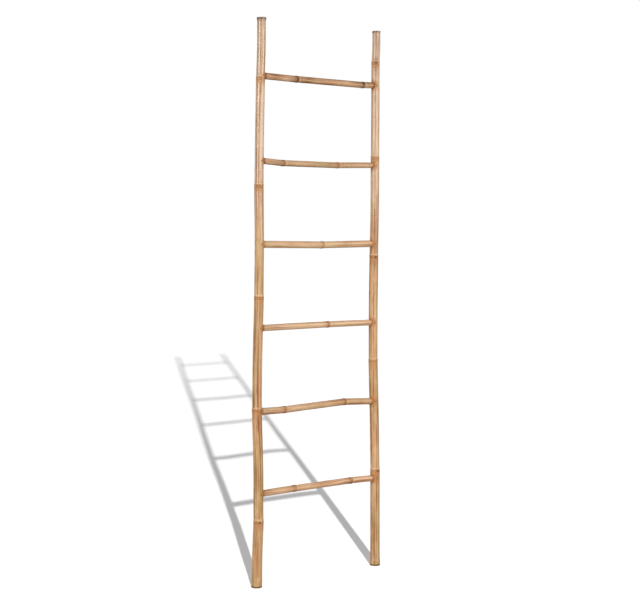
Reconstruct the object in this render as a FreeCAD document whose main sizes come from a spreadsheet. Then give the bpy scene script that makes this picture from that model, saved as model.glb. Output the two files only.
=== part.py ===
import FreeCAD, Part
import os
import Sketcher

# A ladder of natural bamboo that leans on a wall and holds blankets or towels: two upright poles
# and six rungs, each a whole culm with its nodes. A rung's two ends stand in blind round mortises
# bored into the poles' inner sides, and a bamboo pin, driven from the front through pole and
# tenon, locks each one. Nothing moves.
# X runs along the rungs, -Y is the front, +Z is up, and the poles stand on z = 0.
# Rungs and nodes are counted from the floor up. A pole's node 0 is the one it is cut under.

RUNGS = 6
TOP_NODE = 5
OVERRUN = 1.0  # how far a cutter runs past an open end
PIN_SIDES = 6
SIDE_SIGN = {"left": -1, "right": 1}  # which side of the middle each pole stands on
UPRIGHT = "0"  # the lean of what stands straight up

# The nodes that show between the poles: each is measured from the pole it is nearer to.
RUNG_NODES = {1: ["left", "right"], 2: ["left", "right"], 3: ["right"],
              4: ["left"], 5: ["left", "right"], 6: ["left", "right"]}

SIZES = [
    ("foot_to_rung", 291.5, "floor to the axis of rung 1"),
    ("pitch_1", 254.9, "rung 1 to rung 2"),
    ("pitch_2", 258.7, "rung 2 to rung 3"),
    ("pitch_3", 257.3, "rung 3 to rung 4"),
    ("pitch_4", 254.8, "rung 4 to rung 5"),
    ("pitch_5", 258.0, "rung 5 to rung 6"),
    ("top_length", 174.8, "rung 6 to the cut tops of the poles"),
    ("pole_spacing", 464.0, "between the poles' straight axis lines"),
    ("sway_turn", 37.0, "degrees from the ladder's plane to the plane that the poles sway in"),

    ("left_foot_dia", 32.0, "left pole above its node 0"),
    ("left_taper", 1.12, "diameter that the left pole loses at each node"),
    ("left_foot_node", 17.4, "left pole's foot to its node 0"),
    ("left_internode_1", 185.6, "left pole, node 0 to node 1"),
    ("left_internode_2", 347.2, "left pole, node 1 to node 2"),
    ("left_internode_3", 347.2, "left pole, node 2 to node 3"),
    ("left_internode_4", 341.1, "left pole, node 3 to node 4"),
    ("left_internode_5", 326.2, "left pole, node 4 to node 5"),
    ("left_sway_0", -4.4, "left pole off its straight line at node 0"),
    ("left_sway_1", 0.7, "at node 1"),
    ("left_sway_2", -4.9, "at node 2"),
    ("left_sway_3", 0.9, "at node 3"),
    ("left_sway_4", 0.4, "at node 4"),
    ("left_sway_5", 4.7, "at node 5"),
    ("left_sway_6", 7.8, "at its top"),

    ("right_foot_dia", 31.2, "right pole above its node 0"),
    ("right_taper", 1.1, "diameter that the right pole loses at each node"),
    ("right_foot_node", 10.5, "right pole's foot to its node 0"),
    ("right_internode_1", 304.5, "right pole, node 0 to node 1"),
    ("right_internode_2", 362.8, "right pole, node 1 to node 2"),
    ("right_internode_3", 340.1, "right pole, node 2 to node 3"),
    ("right_internode_4", 321.3, "right pole, node 3 to node 4"),
    ("right_internode_5", 306.0, "right pole, node 4 to node 5"),
    ("right_sway_0", 7.0, "right pole off its straight line at node 0"),
    ("right_sway_1", 5.2, "at node 1"),
    ("right_sway_2", -3.2, "at node 2"),
    ("right_sway_3", -2.6, "at node 3"),
    ("right_sway_4", -0.6, "at node 4"),
    ("right_sway_5", -1.0, "at node 5"),
    ("right_sway_6", 1.5, "at its top"),

    ("foot_swell", 1.6, "diameter that the cut foot is wider than the culm"),
    ("pole_neck", 13.0, "below a pole's node, where its swelling starts"),
    ("pole_scar", 3.0, "below a pole's node, the sharp scar that the sheath leaves"),
    ("pole_scar_proud", 1.3, "height of that scar"),
    ("pole_ridge", 5.0, "above a pole's node, the round ridge"),
    ("pole_ridge_proud", 1.1, "height of that ridge"),
    ("pole_shoulder", 14.0, "above a pole's node, where its swelling ends"),
    ("pole_wall", 8.0, "thickness of the hollow wall at the poles' cut tops"),
    ("pole_diaphragm", 3.0, "above a pole's top node, where its hollow starts"),

    ("rung_1_dia", 20.8, "rung 1 across its left end"),
    ("rung_2_dia", 21.6, "rung 2"),
    ("rung_3_dia", 20.0, "rung 3"),
    ("rung_4_dia", 22.2, "rung 4"),
    ("rung_5_dia", 19.0, "rung 5"),
    ("rung_6_dia", 20.5, "rung 6"),
    ("rung_taper", 0.6, "diameter that a rung loses from left to right"),
    ("rung_1_left_node", 135.0, "rung 1, left pole's line to its node"),
    ("rung_1_left_kink", 2.0, "and how high that node stands off the straight"),
    ("rung_1_right_node", 103.0, "rung 1, right pole's line to its node"),
    ("rung_1_right_kink", 2.3, "and its height off the straight"),
    ("rung_2_left_node", 98.0, "rung 2"),
    ("rung_2_left_kink", -0.9, "rung 2"),
    ("rung_2_right_node", 127.0, "rung 2"),
    ("rung_2_right_kink", 6.3, "rung 2"),
    ("rung_3_right_node", 196.0, "rung 3"),
    ("rung_3_right_kink", 0.9, "rung 3"),
    ("rung_4_left_node", 244.0, "rung 4"),
    ("rung_4_left_kink", -2.8, "rung 4"),
    ("rung_5_left_node", 89.0, "rung 5"),
    ("rung_5_left_kink", -4.4, "rung 5"),
    ("rung_5_right_node", 160.0, "rung 5"),
    ("rung_5_right_kink", -4.5, "rung 5"),
    ("rung_6_left_node", 139.0, "rung 6"),
    ("rung_6_left_kink", -1.5, "rung 6"),
    ("rung_6_right_node", 57.0, "rung 6"),
    ("rung_6_right_kink", -1.8, "rung 6"),
    ("rung_neck", 9.0, "either side of a rung's node, where its swelling starts"),
    ("rung_ridge_proud", 0.9, "height of the ridge at a rung's node"),

    ("tenon_straight", 17.0, "pole's axis to where the rung may start to bend"),
    ("tenon_past", 3.5, "pole's axis to the rung's end inside the pole"),
    ("mortise_gap", 0.3, "between the rung's end and the floor of its mortise"),
    ("mortise_clearance", 0.15, "round the rung in its mortise"),
    ("pin_across", 4.4, "six-sided bamboo pin, corner to corner"),
    ("pin_clearance", 0.05, "round the pin in its hole"),
    ("pin_proud", 0.4, "pin's end proud of the pole"),
    ("pin_cover", 2.8, "pole wall left behind the pin's inner end"),
    ("pin_inset_left", 1.0, "left pole's axis to its pins, towards the rungs"),
    ("pin_inset_right", 4.5, "right pole's axis to its pins, towards the rungs"),
]

doc = FreeCAD.newDocument("BlanketLadder")
sheet = doc.addObject("Spreadsheet::Sheet", "Sizes")
for row, (alias, value, meaning) in enumerate(SIZES, start=1):
    sheet.set(f"A{row}", meaning)
    sheet.set(f"B{row}", str(value))
    sheet.setAlias(f"B{row}", alias)
doc.recompute()


# ---- where things are: each function returns the text of an expression on the sizes ----

def rung_height(rung):
    pitches = [f"Sizes.pitch_{below}" for below in range(1, rung)]
    return "(" + " + ".join(["Sizes.foot_to_rung"] + pitches) + ")"


POLE_TOP = f"({rung_height(RUNGS)} + Sizes.top_length)"


def node_height(side, node):
    lengths = [f"Sizes.{side}_internode_{upper}" for upper in range(1, node + 1)]
    return "(" + " + ".join([f"Sizes.{side}_foot_node"] + lengths) + ")"


def run_length(side, node):
    """The run of pole above a node. The last one ends at the cut top."""
    if node == TOP_NODE:
        return f"({POLE_TOP} - {node_height(side, TOP_NODE)})"
    return f"Sizes.{side}_internode_{node + 1}"


def run_sway(side, node):
    """How far the run above a node leans away over its length."""
    return f"(Sizes.{side}_sway_{node + 1} - Sizes.{side}_sway_{node})"


def pole_across(side, node):
    """The pole's diameter along the run above a node."""
    return f"(Sizes.{side}_foot_dia - {node} * Sizes.{side}_taper)"


def pole_axis(side, node, rise):
    """The pole's axis at a rise above a node: x, y and z from the foot of its straight line."""
    slope = f"{run_sway(side, node)} / {run_length(side, node)}"
    sway = f"(Sizes.{side}_sway_{node} + ({rise}) * {slope})"
    return (f"{sway} * cos(Sizes.sway_turn)", f"-{sway} * sin(Sizes.sway_turn)",
            f"{node_height(side, node)} + {rise}")


def joint_node(side, rung):
    """The last node below a rung's joint."""
    height = sheet.evalExpression(rung_height(rung))
    lower = [node for node in range(1, TOP_NODE + 1)
             if sheet.evalExpression(node_height(side, node)) < height]
    return max(lower, default=0)


def joint(side, rung):
    """The pole's axis at a rung's joint, x and y, and the pole's radius there."""
    node = joint_node(side, rung)
    x, y, _ = pole_axis(side, node, f"({rung_height(rung)} - {node_height(side, node)})")
    return x, y, f"({pole_across(side, node)} / 2)"


def rung_across(side, rung):
    return f"(Sizes.rung_{rung}_dia" + (" - Sizes.rung_taper)" if side == "right" else ")")


def pin_ends(side, rung):
    """How far a pin reaches in front of the pole's axis and how far behind it."""
    radius = joint(side, rung)[2]
    front = f"(sqrt({radius} ^ 2 - Sizes.pin_inset_{side} ^ 2) + Sizes.pin_proud)"
    return front, f"({radius} - Sizes.pin_cover)"


# ---- how things are made ----

def attach(feature, body, plane, centre, lean=UPRIGHT):
    """Puts a feature on one of the body's own planes and moves it to its station. The centre
    is given along the plane's two directions and its normal. A lean turns it in the plane
    that the poles sway in."""
    role = f"{plane}_Plane"
    feature.AttachmentSupport = (next(f for f in body.Origin.OriginFeatures if f.Role == role), "")
    feature.MapMode = "FlatFace"
    place = f"vector({'; '.join(centre)})"
    turn = f"rotation(vector(sin(Sizes.sway_turn); cos(Sizes.sway_turn); 0); {lean})"
    feature.setExpression("AttachmentOffset", f"placement({place}; {turn})")


def ring(body, name, plane, centre, across, lean=UPRIGHT):
    """A circle of a given diameter at its station."""
    sketch = body.newObject("Sketcher::SketchObject", name)
    circle = Part.Circle()
    sketch.addGeometry(circle, False)
    sketch.addConstraint(Sketcher.Constraint("Coincident", 0, 3, -1, 1))
    sketch.addConstraint(Sketcher.Constraint("Diameter", 0, 2 * circle.Radius))
    sketch.renameConstraint(1, "across")
    sketch.setExpression("Constraints.across", across)
    attach(sketch, body, plane, centre, lean)
    return sketch


def loft(body, name, rings):
    """Straight-sided skins from ring to ring."""
    feature = body.newObject("PartDesign::AdditiveLoft", name)
    feature.Profile = rings[0]
    feature.Sections = rings[1:]
    feature.Ruled = True
    feature.Refine = False


def pin_hole(body, name, centre, depth):
    """A six-sided hole. The centre is that of its inner end, and it runs to the front."""
    hole = body.newObject("PartDesign::SubtractivePrism", name)
    hole.Polygon = PIN_SIDES
    hole.Refine = False
    hole.setExpression("Circumradius", "Sizes.pin_across / 2 + Sizes.pin_clearance")
    hole.setExpression("Height", depth)
    attach(hole, body, "XZ", centre)


def make_pole(side):
    """A culm cut just under its lowest node. Each run between two nodes is straight and round,
    a little thinner than the one below, and the next run leans another way."""
    sign = SIDE_SIGN[side]
    title = side.capitalize()
    body = doc.addObject("PartDesign::Body", f"{title}Pole")
    body.Label = f"{side}_pole"
    body.setExpression("Placement.Base.x", f"{sign} * Sizes.pole_spacing / 2")

    def lean(node):
        return f"atan({run_sway(side, node)} / {run_length(side, node)})"

    def station(name, node, rise, across, tilt=UPRIGHT):
        return ring(body, f"{title}{name}{node}", "XY", pole_axis(side, node, rise), across, tilt)

    rings = [station("Foot", 0, f"(-{node_height(side, 0)})",
                     f"{pole_across(side, 0)} + Sizes.foot_swell")]
    for node in range(TOP_NODE + 1):
        across = pole_across(side, node)
        if node > 0:
            below = node - 1
            rise = f"({run_length(side, below)} - Sizes.pole_neck)"
            rings.append(station("Neck", below, rise, pole_across(side, below), lean(below)))
        rings.append(station("Scar", node, "(-Sizes.pole_scar)",
                             f"{across} + 2 * Sizes.pole_scar_proud"))
        rings.append(station("Ridge", node, "Sizes.pole_ridge",
                             f"{across} + 2 * Sizes.pole_ridge_proud"))
        rings.append(station("Shoulder", node, "Sizes.pole_shoulder", across, lean(node)))
    rings.append(station("Top", TOP_NODE, run_length(side, TOP_NODE), across, lean(TOP_NODE)))
    loft(body, f"{title}Culm", rings)

    hollow = body.newObject("PartDesign::SubtractiveCylinder", f"{title}Hollow")
    hollow.Refine = False
    hollow.setExpression("Radius", f"{across} / 2 - Sizes.pole_wall")
    hollow.setExpression("Height", f"{run_length(side, TOP_NODE)} - Sizes.pole_diaphragm + {OVERRUN}")
    attach(hollow, body, "XY", pole_axis(side, TOP_NODE, "Sizes.pole_diaphragm"), lean(TOP_NODE))

    for rung in range(1, RUNGS + 1):
        x, y, _ = joint(side, rung)
        z = rung_height(rung)
        floor = f"{x} + {sign} * (Sizes.tenon_past + Sizes.mortise_gap)"
        mouth = ring(body, f"{title}MortiseRing{rung}", "YZ", (y, z, floor),
                     f"{rung_across(side, rung)} + 2 * Sizes.mortise_clearance")
        mortise = body.newObject("PartDesign::Pocket", f"{title}Mortise{rung}")
        mortise.Profile = mouth
        mortise.Type = "Length"
        mortise.Reversed = side == "left"
        mortise.Refine = False
        mortise.setExpression("Length", f"Sizes.{side}_foot_dia + Sizes.tenon_past")
        back = pin_ends(side, rung)[1]
        pin_hole(body, f"{title}PinHole{rung}",
                 (f"{x} - {sign} * Sizes.pin_inset_{side}", z, f"-({y}) - {back}"),
                 f"{back} + Sizes.{side}_foot_dia")
    return body


def make_rung(rung):
    """A thin culm, straight where it enters the poles and kinked at its nodes."""
    body = doc.addObject("PartDesign::Body", f"Rung{rung}")
    body.Label = f"rung_{rung}"
    body.setExpression("Placement.Base.x", "-Sizes.pole_spacing / 2")
    body.setExpression("Placement.Base.z", rung_height(rung))
    left_x, left_y, _ = joint("left", rung)
    right_x, right_y, _ = joint("right", rung)
    far_x = f"Sizes.pole_spacing + {right_x}"
    left_across = rung_across("left", rung)
    right_across = rung_across("right", rung)

    def station(name, x, y, z, across):
        return ring(body, f"Rung{rung}{name}", "YZ", (y, z, x), across)

    def between(x):
        """The straight line from joint to joint, seen from above."""
        return f"{left_y} + ({right_y} - ({left_y})) * ({x}) / Sizes.pole_spacing"

    rings = [station("LeftEnd", f"{left_x} - Sizes.tenon_past", left_y, "0", left_across),
             station("LeftMouth", f"{left_x} + Sizes.tenon_straight", left_y, "0", left_across)]
    for side in RUNG_NODES[rung]:
        node_x = f"Sizes.rung_{rung}_{side}_node"
        if side == "right":
            node_x = f"(Sizes.pole_spacing - {node_x})"
        kink = f"Sizes.rung_{rung}_{side}_kink"
        across = rung_across(side, rung)
        ridge_across = f"{across} + 2 * Sizes.rung_ridge_proud"
        for name, x, wide in (("Neck", f"{node_x} - Sizes.rung_neck", across),
                              ("Ridge", node_x, ridge_across),
                              ("Shoulder", f"{node_x} + Sizes.rung_neck", across)):
            rings.append(station(f"{side.capitalize()}{name}", x, between(x), kink, wide))
    rings.append(station("RightMouth", f"{far_x} - Sizes.tenon_straight", right_y, "0", right_across))
    rings.append(station("RightEnd", f"{far_x} + Sizes.tenon_past", right_y, "0", right_across))
    loft(body, f"Rung{rung}Culm", rings)

    for side, x, y in (("left", f"{left_x} + Sizes.pin_inset_left", left_y),
                       ("right", f"{far_x} - Sizes.pin_inset_right", right_y)):
        pin_hole(body, f"Rung{rung}{side.capitalize()}PinHole",
                 (x, "0", f"-({y}) - Sizes.rung_{rung}_dia"), f"2 * Sizes.rung_{rung}_dia")
    return body


def make_pin(side, rung):
    """A whittled bamboo pin: its front end stands just proud, its inner end stops in the pole."""
    sign = SIDE_SIGN[side]
    x, y, _ = joint(side, rung)
    front, back = pin_ends(side, rung)
    pin = doc.addObject("Part::Prism", f"Pin{rung}{side.capitalize()}")
    pin.Label = f"pin_{rung}_{side}"
    pin.Polygon = PIN_SIDES
    pin.setExpression("Circumradius", "Sizes.pin_across / 2")
    pin.setExpression("Height", f"{front} + {back}")
    pin.Placement = FreeCAD.Placement(FreeCAD.Vector(), FreeCAD.Rotation(FreeCAD.Vector(1, 0, 0), 90))
    pin.setExpression("Placement.Base.x",
                      f"{sign} * (Sizes.pole_spacing / 2 - Sizes.pin_inset_{side}) + {x}")
    pin.setExpression("Placement.Base.y", f"{y} + {back}")
    pin.setExpression("Placement.Base.z", rung_height(rung))
    return pin


bodies = [make_pole(side) for side in SIDE_SIGN]
bodies += [make_rung(rung) for rung in range(1, RUNGS + 1)]
pins = [make_pin(side, rung) for rung in range(1, RUNGS + 1) for side in SIDE_SIGN]
doc.recompute()

# ---- every feature has to be sound, and every cut has to have taken something away ----

for item in doc.Objects:
    if "Invalid" in item.State or "Error" in item.State:
        raise RuntimeError(f"{item.Name} failed: {item.State}")
for piece in bodies + pins:
    if piece.Shape.isNull() or not piece.Shape.isValid() or len(piece.Shape.Solids) != 1:
        raise RuntimeError(f"{piece.Label} is not one sound solid")
for body in bodies:
    features = [item for item in body.Group if item.isDerivedFrom("PartDesign::Feature")]
    for before, cut in zip(features, features[1:]):
        if cut.Shape.Volume >= before.Shape.Volume:
            raise RuntimeError(f"{cut.Name} cut nothing")

os.makedirs("parts", exist_ok=True)
for piece in bodies + pins:
    piece.Shape.exportStep(f"parts/{piece.Label}.step")
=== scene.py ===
import math

import bpy
import numpy as np
from mathutils import Matrix, Vector


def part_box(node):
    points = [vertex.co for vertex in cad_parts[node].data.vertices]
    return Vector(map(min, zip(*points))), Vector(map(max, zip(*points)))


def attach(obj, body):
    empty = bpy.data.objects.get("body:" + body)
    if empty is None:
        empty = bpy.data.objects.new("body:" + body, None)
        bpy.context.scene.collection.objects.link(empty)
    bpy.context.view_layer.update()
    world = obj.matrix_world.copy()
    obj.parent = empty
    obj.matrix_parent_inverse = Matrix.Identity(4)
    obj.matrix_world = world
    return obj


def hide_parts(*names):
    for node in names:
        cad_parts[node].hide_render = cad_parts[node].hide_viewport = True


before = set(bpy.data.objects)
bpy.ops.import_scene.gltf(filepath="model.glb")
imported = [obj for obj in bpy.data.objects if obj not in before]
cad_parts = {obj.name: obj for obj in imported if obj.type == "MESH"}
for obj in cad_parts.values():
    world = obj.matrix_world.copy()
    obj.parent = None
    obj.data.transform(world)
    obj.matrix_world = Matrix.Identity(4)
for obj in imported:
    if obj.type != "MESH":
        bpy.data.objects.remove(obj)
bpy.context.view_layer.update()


# ---------------------------------------------------------------------------------------------
# The two poles: whole bamboo culms about 31 mm thick at the foot, sawn off just under the lowest
# node and open at the top. The run from each node to the next leans another way, and every node
# has a sharp scar where a sheath was, a groove, a round ridge and one bud.

MM = 0.001
TURN = 2 * math.pi
RUNG_NUMBERS = range(1, 7)

# How the solid was drawn: its scar ring lies under each node and its ridge ring over it. A
# circle of a solid has more than RING_CORNERS corners at one place along it.
SCAR_DROP, SCAR_PROUD = 3 * MM, 1.3 * MM
RIDGE_RISE, RIDGE_PROUD = 5 * MM, 1.1 * MM
RING_CORNERS = 48
SMALLEST_RING = 5 * MM
CIRCLE_MISS = 1e-7  # square metres that a corner may lie off its circle in the fit

# A node's rings, on a pole at full size: where they begin and end, and how far they stand out.
NECK_DROP, SHOULDER_RISE = 13 * MM, 14 * MM
SCAR_HEIGHT, RIDGE_HEIGHT = SCAR_PROUD - 0.3 * MM, RIDGE_PROUD - 0.2 * MM
FLARE_HOLLOW = 2.4  # the power that makes the flare under a scar hollow
GROOVE_DROP = 1.9 * MM
RIDGE_FOOT_DROP, RIDGE_FOOT_SHARE = 1.6 * MM, 0.35
BUD_DIP, BUD_DIP_TURN = 1.3 * MM, 0.45  # how far the scar dips under a bud, and over what angle
BUD_PROUD, BUD_RISE, BUD_LENGTH, BUD_TURN = 0.5 * MM, 1.5 * MM, 3.2 * MM, 0.17

POLE_SIDES = 96
POLE_ROWS = {"near": 0.9 * MM, "far": 6 * MM, "reach": 16 * MM}  # steps near a node, and far off
POLE_BUD_TURNS = {  # degrees from +X round to each node's bud, from the lowest node up
    "left_pole": [62, -112, 58, -42, 66, -36],
    "right_pole": [55, -92, 48, -105, 60, -117],
}
POLE_MARKS = {  # how dark each node's band is, from the lowest node up
    "left_pole": [0.1, 0.65, 0.75, 0.8, 0.75, 0.6],
    "right_pole": [0.1, 0.75, 0.75, 0.9, 0.75, 0.55],
}
MARK_REACH = 45 * MM  # how far from a node its marks reach
POLE_SAGS = {  # how far each run between two nodes curves off its straight line, from the foot up
    "left_pole": np.array([-1.0, 1.8, -1.1, 1.3, -0.5, 1.0]) * MM,
    "right_pole": np.array([0.1, 0.8, -0.9, 1.0, 0.4, 1.0]) * MM,
}
SAG_TURN = math.radians(37)
SAG_WAY = (math.cos(SAG_TURN), -math.sin(SAG_TURN))  # the runs curve across the line of sight
POLE_GRAIN = {"left_pole": 4.59, "right_pole": 6.59}  # metres along a long culm to its own grain
POLE_UNEVEN = 0.12 * MM
POLE_WAVES = {"lengths": (0.31, 0.17, 0.09, 0.05), "counts": (2, 3, 2, 5)}

# The sawn ends. Each ramp runs from where an effect starts to where it is full, measured from
# the foot or down from the top.
BEVEL, EDGE_BROKEN = 0.5 * MM, 0.3 * MM
FOOT_SWELL, FOOT_RAMP = 0.8 * MM, (12 * MM, 0)
FOOT_SHARES = np.array([0.3, 0.65, 0.97, 1])  # the rows across the foot, as shares of its radius
TOP_FLARE = {"left_pole": 1.5 * MM, "right_pole": 0.5 * MM}  # the left is sawn just under a node
TOP_RAMP = (14 * MM, 2 * MM)
FOOT_RIM, TOP_RIM = (7.5 * MM, 3.5 * MM), (8 * MM, 4.5 * MM)  # darkened towards the sawn ends: partly a real dark cut edge, partly painted shade
HOLLOW_WALL, HOLLOW_FLOOR_RISE = 8 * MM, 3 * MM
HOLLOW_WAVE, HOLLOW_ROWS, HOLLOW_FLOOR_SHARE = 0.1 * MM, 24, 0.4

# Round a rung's entry the pole's wall is pressed in and stained, with a dark line at the gap that
# # is partly a dark joint and partly painted shade. Ramps are measured from the bored hole's edge,
# # and for the pin from its middle.
PRESSED_IN, PRESSED_RAMP = 1.4 * MM, (0.9 * MM, -0.5 * MM)
HALO, HALO_RAMP = 0.5, (15 * MM, 1 * MM)
GAP_SHADE_AND_STAIN, GAP_RAMP = {"left_pole": 0.5, "right_pole": 0.25}, (2.2 * MM, 0.2 * MM)
PIN_STAIN, PIN_RAMP = 0.75, (5 * MM, 2.3 * MM)
FRONT = -0.3  # sine of the turn from which a place counts as in front


def frame_rings(node, run):
    """The circles that a solid culm was drawn through, in order: the place along its run (axis
    0 or 2), the centre across it, and the radius. Corners that share one place along the run
    and lie on one circle, by least squares on y*y + z*z = 2ay + 2bz + c, make one ring."""
    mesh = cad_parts[node].data
    corners = np.empty(3 * len(mesh.vertices))
    mesh.vertices.foreach_get("co", corners)
    corners = corners.reshape(-1, 3)
    across = [axis for axis in range(3) if axis != run]
    places, ring_of = np.unique(np.round(corners[:, run], 6), return_inverse=True)
    rings = []
    for number in np.flatnonzero(np.bincount(ring_of) > RING_CORNERS):
        flat = corners[ring_of == number][:, across]
        table = np.c_[2 * flat, np.ones(len(flat))]
        squares = (flat ** 2).sum(axis=1)
        fit = np.linalg.lstsq(table, squares, rcond=None)[0]
        radius = math.sqrt(max(fit[2] + fit[0] ** 2 + fit[1] ** 2, 0))
        if radius > SMALLEST_RING and np.abs(table @ fit - squares).max() < CIRCLE_MISS:
            rings.append((places[number], fit[0], fit[1], radius))
    return np.array(rings)


def smooth(low, high, value):
    """0 below low, 1 above high, and the cubic 3t² - 2t³ between. Low may be the larger."""
    share = np.clip((value - low) / (high - low), 0, 1)
    return share * share * (3 - 2 * share)


def ripple(place, turn, seed, lengths, counts):
    """Gentle unevenness between -1 and 1: a mean of waves that run along and round a culm, each
    with its own length, whole count round the culm and chance phase."""
    chance = np.random.default_rng(seed)
    total = np.zeros(np.broadcast(place, turn).shape)
    for length, count in zip(lengths, counts):
        phase, twist = chance.uniform(0, TURN, 2)
        total += np.sin(TURN * place / length + phase) * np.cos(count * turn + twist)
    return total / len(lengths)


def bud_offset(turn, bud_turn):
    """The angle from a bud's own direction, between minus and plus half a turn."""
    return (turn - bud_turn + math.pi) % TURN - math.pi


def node_swell(rise, around, scar, ridge, size):
    """Height of a node's rings over the culm. From the neck a flare, a power of the share of the
    way, rises to the scar, which drops sharply to a groove; from there a round ridge swells and
    dies out at the shoulder. The scar dips under the bud, and the bud is a small drop on the
    ridge's foot, both as bell curves."""
    place = rise + BUD_DIP * size * np.exp(-(around / BUD_DIP_TURN) ** 2)
    climbed = np.clip((place + NECK_DROP * size) / ((NECK_DROP - SCAR_DROP) * size), 0, 1)
    ledge = smooth(-GROOVE_DROP * size, -SCAR_DROP * size, place)
    below = scar * climbed ** FLARE_HOLLOW * ledge
    climb = smooth(-RIDGE_FOOT_DROP * size, RIDGE_RISE * size, rise)
    fall = smooth(SHOULDER_RISE * size, RIDGE_RISE * size, rise)
    above = ridge * (RIDGE_FOOT_SHARE + (1 - RIDGE_FOOT_SHARE) * climb) * fall * (1 - ledge)
    from_bud = (rise - BUD_RISE * size) / (BUD_LENGTH * size)
    bud = np.exp(-(around / BUD_TURN) ** 2 - from_bud ** 2)
    return below + above + BUD_PROUD * size * bud


def culm_mesh(name, centres, sides, radii, attributes):
    """A culm as one closed skin: circles of points, radii[row, column] from centres[row], turn
    by turn in the plane of the two side directions, with one point for each closed end. The
    rows go from the middle of one end face, along the outside, to the middle of the other."""
    rows, columns = radii.shape
    turn = np.arange(columns) * TURN / columns
    spokes = np.cos(turn)[:, None] * sides[0] + np.sin(turn)[:, None] * sides[1]
    points = centres[:, None, :] + radii[:, :, None] * spokes[None]
    grid = np.arange(rows * columns).reshape(rows, columns)
    after = np.roll(grid, -1, axis=1)
    quads = np.stack([grid[:-1], after[:-1], after[1:], grid[1:]], axis=-1).reshape(-1, 4)
    first, last = rows * columns, rows * columns + 1
    low_fan = np.stack([np.full(columns, first), after[0], grid[0]], axis=-1)
    high_fan = np.stack([np.full(columns, last), grid[-1], after[-1]], axis=-1)
    points = np.concatenate([points.reshape(-1, 3), centres[:1], centres[-1:]])
    mesh = bpy.data.meshes.new(name)
    mesh.from_pydata(points, [], quads.tolist() + low_fan.tolist() + high_fan.tolist())
    mesh.shade_smooth()
    for title, values in attributes.items():
        wide = values.reshape(rows * columns, -1)
        wide = np.concatenate([wide, wide[:columns].mean(0)[None], wide[-columns:].mean(0)[None]])
        kind = "FLOAT_VECTOR" if wide.shape[1] == 3 else "FLOAT"
        layer = mesh.attributes.new(title, kind, "POINT")
        layer.data.foreach_set("vector" if kind == "FLOAT_VECTOR" else "value", wide.ravel())
    piece = bpy.data.objects.new(name, mesh)
    bpy.context.scene.collection.objects.link(piece)
    return piece


def spaced(start, finish, details, near, far, reach):
    """Places from start to finish, near apart within reach of any detail and far apart
    elsewhere: the step's inverse is added up along the way and read back evenly."""
    samples = 6000
    way = np.linspace(start, finish, samples)
    off = np.abs(way[:, None] - np.asarray(details)[None]).min(axis=1)
    step = near + (far - near) * smooth(reach, 2 * reach, off)
    count = np.concatenate([[0], np.cumsum(np.diff(way) / step[:-1])])
    return np.interp(np.linspace(0, count[-1], int(count[-1]) + 1), count, way)


def skin_attributes(radius, turn, place, grain, around, rise, marks):
    """What the skin's shader reads. The culm attribute is each point's place on a straightened
    culm that starts at its own grain. The node attribute holds the way round from the bud, the
    rise over the nearest node, and how strong that node's marks are, dying out at their reach."""
    culm = np.stack(np.broadcast_arrays(radius * np.cos(turn), radius * np.sin(turn),
                                        place + grain), axis=-1)
    near = smooth(MARK_REACH, 0.8 * MARK_REACH, np.abs(rise))
    node = np.stack(np.broadcast_arrays(around, np.clip(rise, -MARK_REACH, MARK_REACH),
                                        marks * near), axis=-1)
    return {"culm": culm, "node": node}


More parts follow.
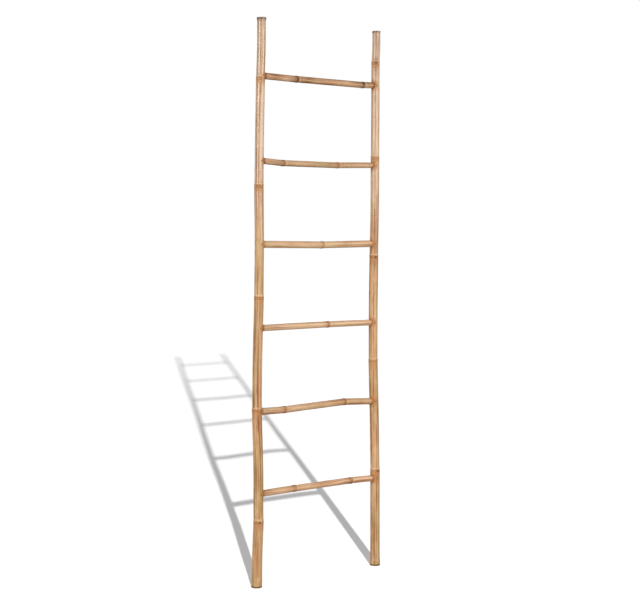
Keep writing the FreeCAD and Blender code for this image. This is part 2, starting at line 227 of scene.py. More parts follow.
def make_pole(node, sign, seed):
    """Rows of the pole's skin: out across the foot, up the outside, in across the top's cut
    wall, and down inside the hollow to the last node's floor. The centre goes straight from node
    to node, plus each run's sag times the squared sine of the way along it. The radius is the
    run's own, plus swell, flare, rings and unevenness, less what is pressed in round a rung."""
    rings = frame_rings(node, 2)
    foot, scars, ridges = rings[0], rings[1::2], rings[2::2]
    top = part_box(node)[1][2]
    share = SCAR_DROP / (SCAR_DROP + RIDGE_RISE)
    nodes = scars + (ridges - scars) * share
    slope = (ridges[-1] - scars[-1]) / (ridges[-1][0] - scars[-1][0])
    end = nodes[-1] + slope * (top - nodes[-1][0])
    line = np.array([foot, *nodes, end])
    widths = ridges[:, 3] - RIDGE_PROUD
    heights = nodes[:, 0]
    joints = [frame_rings(f"rung_{rung}", 0)[0 if sign < 0 else -1] for rung in RUNG_NUMBERS]
    pins = [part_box(f"pin_{rung}_{'left' if sign < 0 else 'right'}") for rung in RUNG_NUMBERS]

    outside = spaced(0, top, [0, top, *heights, *[joint[2] for joint in joints]], **POLE_ROWS)
    outside = outside[(outside > BEVEL) & (outside < top - BEVEL)]
    foot_rows = [0, 0, 0, BEVEL / 3]
    top_rows = [top - BEVEL / 3, top, top, top]
    floor = heights[-1] + HOLLOW_FLOOR_RISE
    hollow_rows = [*np.linspace(top - BEVEL, floor, HOLLOW_ROWS), floor]
    place = np.concatenate([foot_rows, outside, top_rows, hollow_rows])
    turn = np.arange(POLE_SIDES) * TURN / POLE_SIDES
    p, a = place[:, None], turn[None]

    nearest = np.abs(p - heights[None]).argmin(axis=1)
    rise = p - heights[nearest][:, None]
    around = bud_offset(a, np.radians(POLE_BUD_TURNS[node])[nearest][:, None])
    last_run = len(widths) - 1
    run = np.clip(np.searchsorted(heights, place) - 1, 0, last_run)
    width = widths[run][:, None]
    lower = widths[np.clip(nearest - 1, 0, last_run)][:, None]
    upper = widths[nearest][:, None]
    by_node = lower + (upper - lower) * smooth(-NECK_DROP, 0, rise)
    radius = np.where(np.abs(rise) < SHOULDER_RISE, by_node, width) + np.zeros_like(a)
    radius += FOOT_SWELL * smooth(*FOOT_RAMP, p)
    radius += TOP_FLARE[node] * smooth(top - TOP_RAMP[0], top - TOP_RAMP[1], p)
    radius += node_swell(rise, around, SCAR_HEIGHT, RIDGE_HEIGHT, 1.0)
    radius += POLE_UNEVEN * ripple(p, a, seed, **POLE_WAVES)

    centres = np.stack([np.interp(place, line[:, 0], line[:, column]) for column in (1, 2)]
                       + [place], axis=1)
    limits = np.append(heights, top)
    along = np.clip((place - limits[run]) / (limits[run + 1] - limits[run]), 0, 1)
    sag = POLE_SAGS[node][run] * np.sin(math.pi * along) ** 2 * (place > heights[0])
    centres[:, :2] += sag[:, None] * SAG_WAY
    x = centres[:, :1] + radius * np.cos(a)
    y = centres[:, 1:2] + radius * np.sin(a)
    inner = -sign * np.cos(a) > 0
    front = np.sin(a) < FRONT
    joint_mask = np.zeros_like(radius)
    for (_, joint_y, joint_z, joint_radius), pin in zip(joints, pins):
        off = np.hypot(y - joint_y, p - joint_z) - joint_radius
        radius -= np.where(inner, PRESSED_IN * smooth(*PRESSED_RAMP, off), 0)
        # A real stain round the hole, and at the gap a dark line that is partly painted shade.
        stain_and_shade = HALO * smooth(*HALO_RAMP, off) + GAP_SHADE_AND_STAIN[node] * smooth(*GAP_RAMP, off)
        joint_mask = np.maximum(joint_mask, inner * stain_and_shade)
        pin_x, pin_z = (pin[0][0] + pin[1][0]) / 2, (pin[0][2] + pin[1][2]) / 2
        pin_off = np.hypot(x - pin_x, p - pin_z)
        joint_mask = np.maximum(joint_mask, front * PIN_STAIN * smooth(*PIN_RAMP, pin_off))

    under, over = len(foot_rows), len(foot_rows) + len(outside)
    mouth = over + len(top_rows)
    wall = radius[over - 1] - EDGE_BROKEN
    hollow = widths[-1] - HOLLOW_WALL + HOLLOW_WAVE * np.sin(3 * turn)
    radius[:under] = FOOT_SHARES[:, None] * (radius[under][None] - EDGE_BROKEN)
    radius[over] = radius[over - 1] - EDGE_BROKEN / 3
    radius[over + 1:mouth] = np.stack([wall, wall * 0.5 + hollow * 0.5, hollow])
    radius[mouth:-1] = hollow
    radius[-1] = hollow * HOLLOW_FLOOR_SHARE
    cut = np.zeros_like(radius)
    cut[:under] = cut[over:] = 1
    rim = np.maximum(smooth(*FOOT_RIM, p), smooth(top - TOP_RIM[0], top - TOP_RIM[1], p))
    rim = rim * (1 - cut) + np.zeros_like(a)

    read = skin_attributes(radius, a, p, POLE_GRAIN[node], around * width, rise,
                           np.array(POLE_MARKS[node])[nearest][:, None])
    read.update({"cut": cut, "joint": joint_mask, "rim": rim})
    sides = (np.array([1.0, 0, 0]), np.array([0, 1.0, 0]))
    return culm_mesh(node.replace("pole", "culm"), centres, sides, radius, read)


left_culm = make_pole("left_pole", sign=-1, seed=3)
right_culm = make_pole("right_pole", sign=1, seed=5)


# What shows of a culm is its own skin, pale straw to warm tan and lacquered to a satin gloss,
# # with fibres, mottling and brown flecks along it, an orange-brown band and a dark bud at each
# # node, frayed fibres there and round the joints, and open end grain at its cuts. Over it lie
# # painted highlight and shade at the nodes, at the joint gaps and at the sawn ends, and on the
# # poles a paler upper tone as painted sheen.

def put(tree, kind, feeds=None, **settings):
    """One shader node with its settings, and its sockets either linked or given a value."""
    node = tree.nodes.new(kind)
    for name, value in settings.items():
        setattr(node, name, value)
    for socket, feed in (feeds or {}).items():
        if isinstance(feed, bpy.types.NodeSocket):
            tree.links.new(feed, node.inputs[socket])
        else:
            node.inputs[socket].default_value = feed
    return node


def srgb(red, green, blue):
    """A colour given as 0-255 screen values, as the linear colour that shaders take."""
    shares = [value / 255 for value in (red, green, blue)]
    return [s / 12.92 if s <= 0.04045 else ((s + 0.055) / 1.055) ** 2.4 for s in shares] + [1.0]


def math_of(tree, operation, first, second=0.0):
    """The two values put together by one of the Math node's operations."""
    return put(tree, "ShaderNodeMath", {0: first, 1: second}, operation=operation).outputs[0]


def product(tree, *parts):
    """The parts multiplied, from the last back to the first."""
    total = parts[-1]
    for part in parts[-2::-1]:
        total = math_of(tree, "MULTIPLY", part, total)
    return total


def band(tree, value, low, high, peak=1.0):
    """0 where value is at low and peak where it is at high, easing between."""
    node = put(tree, "ShaderNodeMapRange", {"Value": value, "From Min": low, "From Max": high,
                                            "To Min": 0.0, "To Max": peak},
               interpolation_type="SMOOTHSTEP")
    return node.outputs["Result"]


def between(tree, value, start, full, fade, end):
    """1 from full to fade, easing to 0 at start and at end, all four in millimetres."""
    return product(tree, band(tree, value, start * MM, full * MM),
                   band(tree, value, end * MM, fade * MM))


def tint(tree, share, under, over, blend="MIX"):
    """The under colour with that share of the over colour laid on it."""
    node = put(tree, "ShaderNodeMix", {0: share, 6: under, 7: over}, data_type="RGBA",
               blend_type=blend, clamp_factor=True)
    return node.outputs[2]


def noise(tree, vector, scale, detail=2.0, roughness=0.5):
    """Soft chance values about 0.5, scale of them to the metre, with finer ones added."""
    node = put(tree, "ShaderNodeTexNoise", {"Vector": vector, "Scale": scale, "Detail": detail,
                                            "Roughness": roughness})
    return node.outputs["Fac"]


GRAINS = {  # repeats to the metre across, across and along the culm, detail and roughness
    "fibre": ((900, 900, 14), 3.0, 0.5),
    "streak": ((190, 190, 4), 3.0, 0.5),
    "patch": ((45, 45, 14), 3.0, 0.6),
    "tone": ((26, 26, 8), 2.0, 0.5),
    "fleck": ((420, 420, 150), 1.0, 0.5),
    "torn": ((430, 430, 190), 3.0, 0.6),
}
WOBBLE = 5 * MM  # over what length the edges of a node's marks wander along the culm
WOBBLE_SCALE = 130.0
BUNDLE_SCALE = 900.0  # vessel bundles to the metre in the end grain

# Millimetres over the node at which a mark starts, is full, fades and ends.
STAIN_BELOW = (-38, -10, -4, 1)
BAND_ZONE = (-12.5, -5.5, 5, 7.6)
PALE_LINE = (-9.8, -7.4, -6.0, -4.6)
SCAR_AND_GROOVE_SHADE = (-3.6, -2.4, -1.2, 0.2)
LEDGE_LINE = (0.8, 2.8, 4.8, 6.2)
RIDGE_TOP_HIGHLIGHT = (5.5, 7.5, 9.5, 13.5)
WINGS = (-11.5, -4, -2, 1)
WORN_RINGS = (-18, -8, 11, 21)
WING_SLANT, WING_RAMP = 0.6, (3 * MM, 0.6 * MM)  # to the wing's middle line
SPOT_RISE, SPOT_RAMP = 1.6 * MM, (4.6 * MM, 2.2 * MM)  # to the bud's middle

SHADE, LINE_SHADE, BAND_SHADE = srgb(200, 176, 150), srgb(192, 160, 130), srgb(188, 164, 140)
BLEACHED, FLECK_BROWN = srgb(244, 216, 178), srgb(120, 76, 42)
GAP_SHADE_AND_PIN_BROWN, TORN_BROWN, TORN_PALE = srgb(84, 48, 24), srgb(128, 78, 40), srgb(236, 198, 148)
BUD_BROWN, RIM_BROWN_AND_SHADE = srgb(84, 46, 22), srgb(96, 70, 50)
PITH, BUNDLE_BROWN = srgb(186, 148, 104), srgb(108, 74, 42)


def culm_skin_group():
    """Lays a culm's marks over a base colour, each by a mask of noise or of distance. It reads
    the piece's own attributes: culm is a place on the straightened culm; node is the way round
    from the bud, the rise over the node and how strong its marks are; joint grows towards a
    bored hole, rim towards a sawn end, and cut is 1 on the end grain."""
    group = bpy.data.node_groups.new("culm skin", "ShaderNodeTree")
    colours, values = "NodeSocketColor", "NodeSocketFloat"
    for name, kind in (("Skin", colours), ("Cool Skin", colours), ("Band", colours),
                       ("Bloom And Highlight", colours), ("Mottle", values), ("Band Share", values),
                       ("Stain Share", values), ("Roughness", values), ("Coat", values)):
        group.interface.new_socket(name, in_out="INPUT", socket_type=kind)
    for name, kind in (("Color", colours), ("Roughness", values), ("Coat", values),
                       ("Height", values)):
        group.interface.new_socket(name, in_out="OUTPUT", socket_type=kind)
    given = put(group, "NodeGroupInput").outputs
    place, local = (put(group, "ShaderNodeAttribute", attribute_name=name).outputs["Vector"]
                    for name in ("culm", "node"))
    cut, joint, rim = (put(group, "ShaderNodeAttribute", attribute_name=name).outputs["Fac"]
                       for name in ("cut", "joint", "rim"))
    around, rise, marked = put(group, "ShaderNodeSeparateXYZ", {0: local}).outputs

    grains = {}
    for name, (scale, detail, roughness) in GRAINS.items():
        mapped = put(group, "ShaderNodeMapping", {"Vector": place, "Scale": scale})
        grains[name] = noise(group, mapped.outputs[0], 1.0, detail, roughness)
    fibre, streak, patch, torn = (grains[name] for name in ("fibre", "streak", "patch", "torn"))
    wobble = noise(group, place, WOBBLE_SCALE)
    shifted = math_of(group, "ADD", rise, product(group, wobble, WOBBLE))
    shifted = math_of(group, "SUBTRACT", shifted, WOBBLE / 2)

    def laid(under, over, *shares):
        """The under colour with the product of the shares of the over colour on it."""
        return tint(group, product(group, *shares), under, over)

    def shaded(under, shade):
        """The under colour times the shade, channel by channel."""
        return tint(group, 1.0, under, shade, "MULTIPLY")

    # Along the whole culm: slow changes of tone, mottling, dark lines, fibres and flecks.
    colour = laid(given["Skin"], given["Cool Skin"], band(group, grains["tone"], 0.42, 0.62))
    dark = shaded(colour, SHADE)
    pale = laid(colour, BLEACHED, 0.45)
    colour = laid(colour, dark, band(group, patch, 0.5, 0.75), given["Mottle"])
    colour = laid(colour, pale, band(group, patch, 0.5, 0.28), given["Mottle"])
    dark_line = shaded(colour, LINE_SHADE)
    colour = laid(colour, dark_line, band(group, streak, 0.51, 0.64, peak=1.25), given["Mottle"])
    colour = laid(colour, pale, band(group, streak, 0.48, 0.36, peak=0.6))
    colour = laid(colour, dark, band(group, fibre, 0.5, 0.8, peak=0.35))
    colour = laid(colour, FLECK_BROWN, band(group, grains["fleck"], 0.7, 0.78, peak=0.5))

    # At a node: a stain below it, a painted highlight above it on the ridge's upper flank, and the
    #     # band with its lines, whose dark line at the scar and groove is partly painted shade.
    stained = between(group, shifted, *STAIN_BELOW)
    colour = laid(colour, given["Band"], stained, marked, given["Stain Share"])
    # A painted highlight on the ridge's upper flank, above the node.
    colour = laid(colour, given["Bloom And Highlight"], between(group, shifted, *RIDGE_TOP_HIGHLIGHT), marked, 0.5)
    zone = between(group, shifted, *BAND_ZONE)
    uneven = math_of(group, "ADD", band(group, streak, 0.32, 0.62, peak=0.5), 0.5)
    share = product(group, product(group, zone, uneven), given["Band Share"])
    colour = laid(colour, given["Band"], share, marked)
    deep = shaded(given["Band"], BAND_SHADE)
    colour = laid(colour, deep, between(group, shifted, *LEDGE_LINE), marked, 0.35)
    # A dark line at the scar, with painted shade in the groove over it.
    colour = laid(colour, deep, between(group, rise, *SCAR_AND_GROOVE_SHADE), marked, 0.6)
    # The pale line below the node is its wax bloom.
    colour = laid(colour, given["Bloom And Highlight"], between(group, shifted, *PALE_LINE), marked, 0.25)

    # Round a joint: an orange-brown stain, and a dark brown that is a real stain round a pin and,
    #     # at the gap, partly a dark joint and partly painted shade. Fibres fray there and in the
    #     band.
    colour = laid(colour, given["Band"], band(group, joint, 0.0, 0.5, peak=0.85))
    colour = laid(colour, GAP_SHADE_AND_PIN_BROWN, band(group, joint, 0.5, 0.95, peak=0.55))
    frayed = math_of(group, "MAXIMUM", product(group, zone, marked),
                     band(group, joint, 0.05, 0.5, peak=0.8))
    colour = laid(colour, TORN_BROWN, band(group, torn, 0.53, 0.68, peak=0.5), frayed)
    colour = laid(colour, TORN_PALE, band(group, torn, 0.47, 0.32, peak=0.5), frayed)

    # The bud is a round spot over the node, with two thin wings that slant down from it.
    slant = product(group, rise, WING_SLANT)
    aside = math_of(group, "ADD", math_of(group, "ABSOLUTE", around), slant)
    wing = band(group, math_of(group, "ABSOLUTE", aside), *WING_RAMP)
    wing = product(group, wing, between(group, rise, *WINGS))
    colour = laid(colour, deep, wing, marked, 0.55)
    offset = put(group, "ShaderNodeCombineXYZ",
                 {0: around, 1: math_of(group, "SUBTRACT", rise, SPOT_RISE)}).outputs[0]
    far = put(group, "ShaderNodeVectorMath", {0: offset}, operation="LENGTH").outputs["Value"]
    spot = band(group, far, *SPOT_RAMP, peak=0.95)
    colour = laid(colour, BUD_BROWN, spot, band(group, marked, 0.2, 0.8))

    # At a cut: a rim darkened partly by a real dark cut edge and partly by painted shade, and
    #     # vessel bundles in the pith of the end grain.
    bundles = put(group, "ShaderNodeTexVoronoi", {"Vector": place, "Scale": BUNDLE_SCALE})
    bundles = bundles.outputs["Distance"]
    colour = laid(colour, RIM_BROWN_AND_SHADE, band(group, rim, 0.1, 0.7, peak=0.85))
    colour = laid(colour, laid(PITH, BUNDLE_BROWN, band(group, bundles, 0.45, 0.2)), cut)

    # Nodes, joints and cuts are rougher and hold less lacquer than the skin between.
    worn = product(group, band(group, marked, 0.0, 0.05), between(group, rise, *WORN_RINGS))
    worn = math_of(group, "MAXIMUM", worn, math_of(group, "MAXIMUM", cut, joint))
    rough = math_of(group, "ADD", given["Roughness"], product(group, patch, 0.1))
    rough = math_of(group, "ADD", rough, product(group, worn, 0.25))
    lacquered = math_of(group, "SUBTRACT", 1.0, product(group, worn, 0.8))
    height = math_of(group, "ADD", product(group, fibre, 0.06), product(group, streak, 0.5))
    height = math_of(group, "SUBTRACT", height, product(group, bundles, cut))
    put(group, "NodeGroupOutput", {"Color": colour, "Roughness": rough, "Height": height,
                                   "Coat": product(group, given["Coat"], lacquered)})
    return group


culm_skin = culm_skin_group()
UPPER_SHEEN_FROM, UPPER_SHEEN_TO = 1.1, 1.36  # metres up over which a pole's lower tone gives way to its upper, paler and greyer tone, a painted sheen


def culm_material(name, skin, cool_skin, band_colour, bloom_and_highlight, mottle, stain_share, roughness,
                  coat, upper=None):
    """The culm's skin over one tone, or over a lower and an upper tone that change with height.
    The upper tone is paler and greyer than the lower: a painted sheen.
    """
    material = bpy.data.materials.new(name)
    material.use_nodes = True
    tree = material.node_tree
    shader = tree.nodes["Principled BSDF"]
    tones = [skin, cool_skin]
    if upper:
        place = put(tree, "ShaderNodeTexCoord").outputs["Object"]
        height = put(tree, "ShaderNodeSeparateXYZ", {0: place}).outputs["Z"]
        high = band(tree, height, UPPER_SHEEN_FROM, UPPER_SHEEN_TO)
        tones = [tint(tree, high, tone, upper) for tone in tones]
    skinned = put(tree, "ShaderNodeGroup", node_tree=culm_skin)
    given = {"Skin": tones[0], "Cool Skin": tones[1], "Band": band_colour, "Bloom And Highlight": bloom_and_highlight,
             "Mottle": mottle, "Band Share": 0.9, "Stain Share": stain_share,
             "Roughness": roughness, "Coat": coat}
    for socket, feed in given.items():
        if isinstance(feed, bpy.types.NodeSocket):
            tree.links.new(feed, skinned.inputs[socket])
        else:
            skinned.inputs[socket].default_value = feed
    bump = put(tree, "ShaderNodeBump", {"Strength": 0.2, "Distance": 0.4 * MM,
                                        "Height": skinned.outputs["Height"]})
    tree.links.new(skinned.outputs["Color"], shader.inputs["Base Color"])
    tree.links.new(skinned.outputs["Roughness"], shader.inputs["Roughness"])
    tree.links.new(bump.outputs["Normal"], shader.inputs["Normal"])
    tree.links.new(skinned.outputs["Coat"], shader.inputs["Coat Weight"])
    shader.inputs["Coat Roughness"].default_value = 0.15
    return material


# The poles' upper tone is paler and greyer than the lower: a painted sheen of the lamps.
pole_skin = culm_material(
    "pole skin", skin=srgb(210, 160, 112), cool_skin=srgb(202, 161, 108),
    band_colour=srgb(184, 120, 60), bloom_and_highlight=srgb(228, 192, 146), upper=srgb(203, 166, 131),
    mottle=0.7, stain_share=0.6, roughness=0.28, coat=0.5)
for culm, node in ((left_culm, "left_pole"), (right_culm, "right_pole")):
    culm.data.materials.append(pole_skin)
    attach(culm, "root")
    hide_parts(node)


# ---------------------------------------------------------------------------------------------
# The six rungs. Each is a thinner culm, full and round to its ends, which stand in holes bored
# into the poles. It bends a little at its own nodes. The middle rungs are the palest.

RUNG_SIDES = 72
RUNG_ROWS = {"near": 0.9 * MM, "far": 4 * MM, "reach": 12 * MM}
RUNG_SCAR_HEIGHT, RUNG_RIDGE_HEIGHT = 0.9 * MM, 0.72 * MM
RUNG_NODE_SIZE = 0.62  # the length of its nodes' rings against a pole's
RUNG_ENTRY = 20 * MM  # about where it goes into the pole, from its end
RUNG_HELD, RUNG_FREE = 18 * MM, 30 * MM  # straight and even up to the first, free from the second
RUNG_END_SHARE = 0.5  # the row across each end, as a share of its radius
BEND_EASE = 6 * MM  # how far to either side of a bend its corner is eased
RUNG_UNEVEN = 0.14 * MM
RUNG_WAVES = {"lengths": (0.21, 0.12, 0.06), "counts": (2, 3, 4)}
RUNG_SEED = 20
RUNG_GRAIN = {1: 10.77, 2: 18.23, 3: 24.29, 4: 29.13, 5: 37.41, 6: 43.97}  # as for the poles
RUNG_MARKS = {1: [0.6, 0.8], 2: [0.8, 0.9], 3: [0.95], 4: [0.7], 5: [0.95, 0.6], 6: [1.0, 1.0]}
RUNG_BUD_TURNS = {1: [100, -130], 2: [-120, 95], 3: [105], 4: [80], 5: [110, 75], 6: [120, 150]}
RUNG_HALO_RAMP = (10 * MM, 1 * MM)  # its stain, and the gap's dark line of partly painted shade, measured from the pole's skin
RUNG_GAP_SHADE_AND_STAIN, RUNG_GAP_RAMP = {"left_pole": 0.5, "right_pole": 0.2}, (3 * MM, 0.5 * MM)
RUNG_TONES = {1: (226, 175, 137), 2: (212, 163, 122), 3: (226, 183, 144), 4: (218, 174, 132),
              5: (200, 154, 114), 6: (194, 145, 102)}
RUNG_COOL_TONES = {1: (220, 174, 130), 2: (206, 164, 118), 3: (222, 184, 138), 4: (212, 174, 124),
                   5: (192, 154, 106), 6: (184, 144, 94)}
RUNG_BANDS = {1: (156, 98, 54), 2: (166, 102, 52), 3: (178, 114, 60), 4: (184, 128, 74),
              5: (146, 86, 42), 6: (104, 56, 28)}
RUNG_MOTTLES = {1: 0.65, 2: 0.75, 3: 0.5, 4: 0.5, 5: 0.7, 6: 1.0}


def make_rung(rung):
    """Rows of the rung's skin, from the middle of its left end to the middle of its right end.
    The centre goes straight from ring to ring of the solid, and each of its corners is eased to
    the mean of seven places about it. The radius changes evenly from end to end, plus rings and
    unevenness."""
    node = f"rung_{rung}"
    rings = frame_rings(node, 0)
    ridges = rings[3:-2:3]
    middles = ridges[:, 0]
    start, finish = rings[0][0], rings[-1][0]
    details = [*middles, start + RUNG_ENTRY, finish - RUNG_ENTRY]
    outside = spaced(start, finish, details, **RUNG_ROWS)
    place = np.concatenate([[start, start], outside[1:-1], [finish, finish]])
    turn = np.arange(RUNG_SIDES) * TURN / RUNG_SIDES
    p, a = place[:, None], turn[None]

    knots = rings[[0, 1, *range(3, len(rings) - 2, 3), -2, -1]]
    steps = np.linspace(-BEND_EASE, BEND_EASE, 7)
    held = (smooth(start + RUNG_FREE, start + RUNG_HELD, place)
            + smooth(finish - RUNG_FREE, finish - RUNG_HELD, place))
    ways = []
    for column in (1, 2):
        straight = np.interp(place, knots[:, 0], knots[:, column])
        eased = sum(np.interp(place + step, knots[:, 0], knots[:, column]) for step in steps)
        eased = eased / len(steps)
        ways.append(eased + (straight - eased) * held)
    centres = np.stack([place, *ways], axis=1)

    nearest = np.abs(p - middles[None]).argmin(axis=1)
    rise = p - middles[nearest][:, None]
    around = bud_offset(a, np.radians(RUNG_BUD_TURNS[rung])[nearest][:, None])
    plain = np.interp(place, [start, finish], [rings[0][3], rings[-1][3]])[:, None]
    radius = plain + node_swell(rise, around, RUNG_SCAR_HEIGHT, RUNG_RIDGE_HEIGHT,
                                RUNG_NODE_SIZE)
    free = (smooth(start + RUNG_HELD, start + RUNG_FREE, p)
            * smooth(finish - RUNG_HELD, finish - RUNG_FREE, p))
    radius = radius + RUNG_UNEVEN * free * ripple(p, a, RUNG_SEED + rung, **RUNG_WAVES)
    radius[0] *= RUNG_END_SHARE
    radius[-1] *= RUNG_END_SHARE

    cut = np.zeros_like(radius)
    cut[:2] = cut[-2:] = 1
    joint_mask = np.zeros_like(radius)
    y = centres[:, 1:2] + radius * np.cos(a)
    z = centres[:, 2:3] + radius * np.sin(a)
    for pole, gap_shade_and_stain in RUNG_GAP_SHADE_AND_STAIN.items():
        circles = frame_rings(pole, 2)
        axis_x = np.interp(z, circles[:, 0], circles[:, 1])
        axis_y = np.interp(z, circles[:, 0], circles[:, 2])
        reach = np.interp(z, circles[::2, 0], circles[::2, 3] - RIDGE_PROUD)
        off = np.hypot(p - axis_x, y - axis_y) - reach
        # A real stain round the hole, and at the gap a dark line that is partly painted shade.
        stain_and_shade = HALO * smooth(*RUNG_HALO_RAMP, off) + gap_shade_and_stain * smooth(*RUNG_GAP_RAMP, off)
        joint_mask = np.maximum(joint_mask, stain_and_shade)

    read = skin_attributes(radius, a, p, RUNG_GRAIN[rung], around * plain, rise,
                           np.array(RUNG_MARKS[rung])[nearest][:, None])
    read.update({"cut": cut, "joint": joint_mask, "rim": np.zeros_like(radius)})
    sides = (np.array([0, 1.0, 0]), np.array([0, 0, 1.0]))
    return culm_mesh(f"rung_culm_{rung}", centres, sides, radius, read)


for rung in RUNG_NUMBERS:
    culm = make_rung(rung)
    culm.data.materials.append(culm_material(
        f"rung {rung} skin", skin=srgb(*RUNG_TONES[rung]), cool_skin=srgb(*RUNG_COOL_TONES[rung]),
        band_colour=srgb(*RUNG_BANDS[rung]), bloom_and_highlight=srgb(226, 194, 156),
        mottle=RUNG_MOTTLES[rung], stain_share=0.25, roughness=0.42, coat=0.15))
    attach(culm, "root")
    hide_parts(f"rung_{rung}")


# ---------------------------------------------------------------------------------------------
# The twelve pins. Each is whittled from split bamboo and driven in from the front, through the
# pole's wall and the rung's end, and cut off almost flush. Its end grain has darkened.

PIN_BUNDLE_SCALE = 1600.0  # its vessel bundles to the metre
PIN_PITH, PIN_BUNDLE_BROWN = srgb(158, 108, 58), srgb(82, 50, 24)


def pin_material():
    """Dark vessel bundles, one at the middle of each cell of a chance pattern, in paler pith."""
    material = bpy.data.materials.new("pin end grain")
    material.use_nodes = True
    tree = material.node_tree
    shader = tree.nodes["Principled BSDF"]
    place = put(tree, "ShaderNodeTexCoord").outputs["Object"]
    bundles = put(tree, "ShaderNodeTexVoronoi", {"Vector": place, "Scale": PIN_BUNDLE_SCALE})
    bundles = bundles.outputs["Distance"]
    colour = tint(tree, band(tree, bundles, 0.5, 0.15), PIN_PITH, PIN_BUNDLE_BROWN)
    bump = put(tree, "ShaderNodeBump", {"Strength": 0.3, "Distance": 0.2 * MM, "Height": bundles})
    tree.links.new(colour, shader.inputs["Base Color"])
    tree.links.new(bump.outputs["Normal"], shader.inputs["Normal"])
    shader.inputs["Roughness"].default_value = 0.6
    return material


pin_grain = pin_material()
for rung in RUNG_NUMBERS:
    for side in ("left", "right"):
        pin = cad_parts[f"pin_{rung}_{side}"]
        pin.data.materials.clear()
        pin.data.materials.append(pin_grain)


# ---------------------------------------------------------------------------------------------
# The studio: a plain white floor that runs on into a white room with a darker ceiling. A low
# lamp lights the floor alone and throws the ladder's long soft shadow over it. Four soft boxes,
# in front, at the side, low down and behind, light the ladder alone.

scene = bpy.context.scene
scene.view_settings.view_transform = "Standard"

FLOOR_REACH = 40  # metres to each side
FLOOR_SEEN, FLOOR_UNSEEN = (0.85, 0.85, 0.85, 1), (0.3, 0.3, 0.3, 1)  # unseen: what it throws back
FLOOR_GLOW = 0.33  # added where the camera sees the floor, so that it is as white as the room
WALLS_LIGHT, CEILING_DROP = 0.38, 0.32  # the room's light, and how much darker it is overhead
ROOM_GLOSS = 0.4  # how bright the room is in a gloss
WHITE = (1, 1, 1, 1)

floor_mesh = bpy.data.meshes.new("floor")
floor_mesh.from_pydata([(-FLOOR_REACH, -FLOOR_REACH, 0), (FLOOR_REACH, -FLOOR_REACH, 0),
                        (FLOOR_REACH, FLOOR_REACH, 0), (-FLOOR_REACH, FLOOR_REACH, 0)], [],
                       [(0, 1, 2, 3)])
floor = bpy.data.objects.new("floor", floor_mesh)
scene.collection.objects.link(floor)
floor_white = bpy.data.materials.new("floor white")
floor_white.use_nodes = True
tree = floor_white.node_tree
matt = tree.nodes["Principled BSDF"]
matt.inputs["Roughness"].default_value = 0.9
matt.inputs["Specular IOR Level"].default_value = 0.0
seen = put(tree, "ShaderNodeLightPath").outputs["Is Camera Ray"]
tree.links.new(tint(tree, seen, FLOOR_UNSEEN, FLOOR_SEEN), matt.inputs["Base Color"])
tree.links.new(product(tree, seen, FLOOR_GLOW), matt.inputs["Emission Strength"])
matt.inputs["Emission Color"].default_value = WHITE
floor_mesh.materials.append(floor_white)

world = bpy.data.worlds.new("white room")
scene.world = world
world.use_nodes = True
tree = world.node_tree
room = tree.nodes["Background"]
room.inputs["Color"].default_value = WHITE
path = put(tree, "ShaderNodeLightPath").outputs
direct = math_of(tree, "MAXIMUM", path["Is Camera Ray"], path["Is Transmission Ray"])
direct = math_of(tree, "MAXIMUM", direct, product(tree, path["Is Glossy Ray"], ROOM_GLOSS))
way = put(tree, "ShaderNodeTexCoord").outputs["Generated"]
upward = put(tree, "ShaderNodeSeparateXYZ", {0: way}).outputs["Z"]
ceiling = band(tree, upward, 0.0, 0.8, peak=CEILING_DROP)
walls = math_of(tree, "SUBTRACT", WALLS_LIGHT, ceiling)
tree.links.new(math_of(tree, "MAXIMUM", direct, walls), room.inputs["Strength"])

VIEW_TURN = 38.0  # degrees: how far round to the left of the front the camera stands


def from_view(turn, distance, height):
    """A place round the ladder, its turn in degrees to the right of the camera's own."""
    angle = math.radians(turn - VIEW_TURN)
    return (distance * math.sin(angle), -distance * math.cos(angle), height)


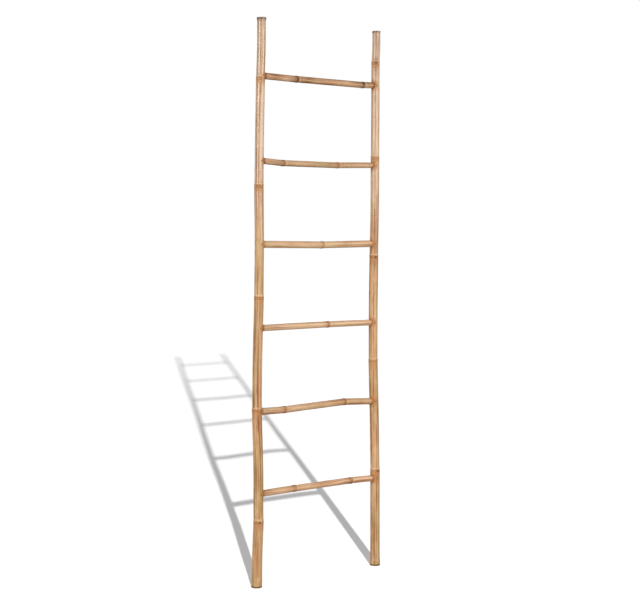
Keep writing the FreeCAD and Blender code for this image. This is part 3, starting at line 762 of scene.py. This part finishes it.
def lamp(name, kind, lights_floor, place, aim_height, **settings):
    """A light that faces the ladder's middle line at a height. It lights either the floor alone
    or everything but the floor."""
    light = bpy.data.lights.new(name, kind)
    for setting, value in settings.items():
        setattr(light, setting, value)
    holder = bpy.data.objects.new(name, light)
    facing = (Vector(place) - Vector((0, 0, aim_height))).to_track_quat("Z", "Y")
    holder.matrix_world = Matrix.Translation(place) @ facing.to_matrix().to_4x4()
    scene.collection.objects.link(holder)
    choice = bpy.data.collections.new(f"{name} on the floor")
    choice.objects.link(floor)
    linking = choice.collection_objects[0].light_linking
    linking.link_state = "INCLUDE" if lights_floor else "EXCLUDE"
    holder.light_linking.receiver_collection = choice
    return holder


lamp("low lamp", "SUN", True, from_view(8, 8, 1.85), 0, energy=10, angle=math.radians(0.6))
lamp("front box", "AREA", False, from_view(-43, 6, 2.75), 2.75, energy=215, shape="RECTANGLE",
     size=3.0, size_y=3.0)
lamp("side box", "AREA", False, from_view(54, 3.4, 2.15), 2.15, energy=104, shape="RECTANGLE",
     size=4.2, size_y=2.2)
low_box = lamp("low box", "AREA", False, from_view(-6, 4.2, 0.3), 0.3, energy=4.5,
               shape="RECTANGLE", size=2.6, size_y=0.6, spread=math.radians(50))
back_box = lamp("back box", "AREA", False, from_view(192, 3.8, 1.3), 1.1, energy=190,
                shape="RECTANGLE", size=6.5, size_y=2.4)
low_box.visible_glossy = back_box.visible_glossy = False

# The camera stands 4.3 m away and 1.1 m up, to the left of the front, and looks down a little.
# Its picture is unshifted.
SENSOR_WIDTH, PICTURE_WIDTH = 36, 640
FOCAL_PIXELS = 1368.93
CAMERA_PLACE = (-2.65719, -3.4239, 1.11742)
CAMERA_TURN, CAMERA_DROP, CAMERA_ROLL = -0.66115, 0.05356, 0.00382

camera_data = bpy.data.cameras.new("camera")
camera_data.sensor_width = SENSOR_WIDTH
camera_data.lens = FOCAL_PIXELS / PICTURE_WIDTH * SENSOR_WIDTH
camera = bpy.data.objects.new("camera", camera_data)
camera.matrix_world = (Matrix.Translation(CAMERA_PLACE)
                       @ Matrix.Rotation(CAMERA_TURN, 4, "Z")
                       @ Matrix.Rotation(math.pi / 2 - CAMERA_DROP, 4, "X")
                       @ Matrix.Rotation(CAMERA_ROLL, 4, "Z"))
scene.collection.objects.link(camera)
scene.camera = camera
